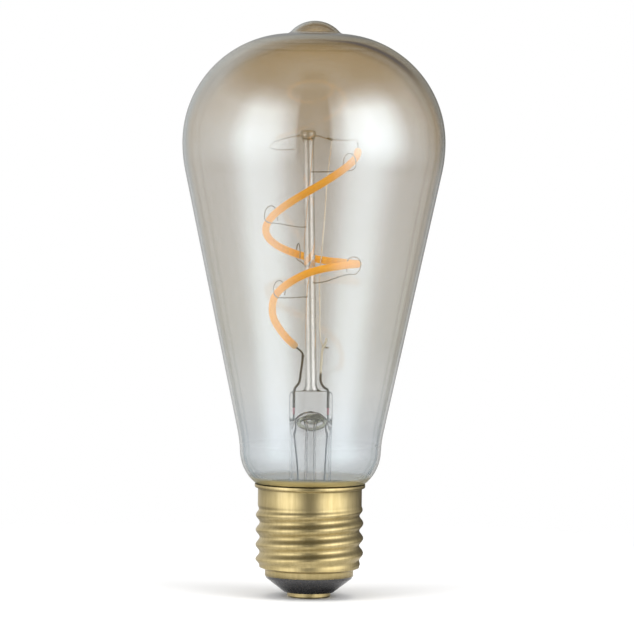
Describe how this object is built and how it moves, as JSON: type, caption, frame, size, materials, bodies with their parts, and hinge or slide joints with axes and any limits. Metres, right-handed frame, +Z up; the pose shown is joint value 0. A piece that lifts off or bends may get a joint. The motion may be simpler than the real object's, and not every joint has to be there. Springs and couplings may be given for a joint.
{
  "type": "filament led bulb",
  "caption": "Pear-shaped tinted glass bulb with a soft LED filament coiled round a glass rod, on a glass stem, and a 27 mm screw cap.",
  "frame": {"origin": "centre of the contact plate's outer face, at the foot of the screw cap", "axes": "+Z up the bulb's axis to the glass tip, -Y to the front, where the first turn of the filament crosses the rod"},
  "size_m": [0.064, 0.064, 0.1404],
  "materials": {
    "tinted_glass": "gloss",
    "clear_glass": "gloss",
    "lead_wire": "dull oxide",
    "seal_wire": "copper clad with a red oxide",
    "outer_wire": "satin",
    "return_wire": "satin",
    "support_wire": "dull",
    "phosphor_silicone": "satin",
    "filament_carrier": "matte",
    "led_chip": "gloss",
    "terminal_pin": "satin",
    "cap_brass": "satin",
    "black_glass": "gloss",
    "solder": "satin",
    "cement": "matte",
    "circuit_board": "satin",
    "chip_package": "matte",
    "capacitor_sleeve": "gloss",
    "varistor_coat": "satin",
    "fuse_coat": "matte",
    "chip_resistor": "gloss",
    "insulated_wire": "satin",
    "bare_wire": "satin"
  },
  "bodies": {
    "root": {"bulb_envelope": "tinted_glass", "stem_flare": "clear_glass", "exhaust_tube": "clear_glass", "glass_rod": "clear_glass", "inner_lead_left": "lead_wire", "inner_lead_right": "lead_wire", "dumet_seal_left": "seal_wire", "dumet_seal_right": "seal_wire", "outer_lead_left": "outer_wire", "outer_lead_right": "outer_wire", "return_wire": "return_wire", "top_support": "support_wire", "top_hook": "support_wire", "support_upper_right": "support_wire", "support_upper_left": "support_wire", "support_back": "support_wire", "support_lower_right": "support_wire", "support_lower_left": "support_wire", "filament_coating": "phosphor_silicone", "filament_carrier": "filament_carrier", "led_chips": "led_chip", "filament_pin_top": "terminal_pin", "filament_pin_bottom": "terminal_pin", "cap_shell": "cap_brass", "cap_insulator": "black_glass", "contact_plate": "cap_brass", "contact_solder": "solder", "side_solder": "solder", "basing_cement": "cement", "driver_board": "circuit_board", "bridge_rectifier": "chip_package", "driver_ic": "chip_package", "smoothing_capacitor": "capacitor_sleeve", "surge_varistor": "varistor_coat", "fuse_resistor": "fuse_coat", "chip_resistors": "chip_resistor", "live_wire": "insulated_wire", "neutral_wire": "bare_wire"}
  },
  "joints": []
}
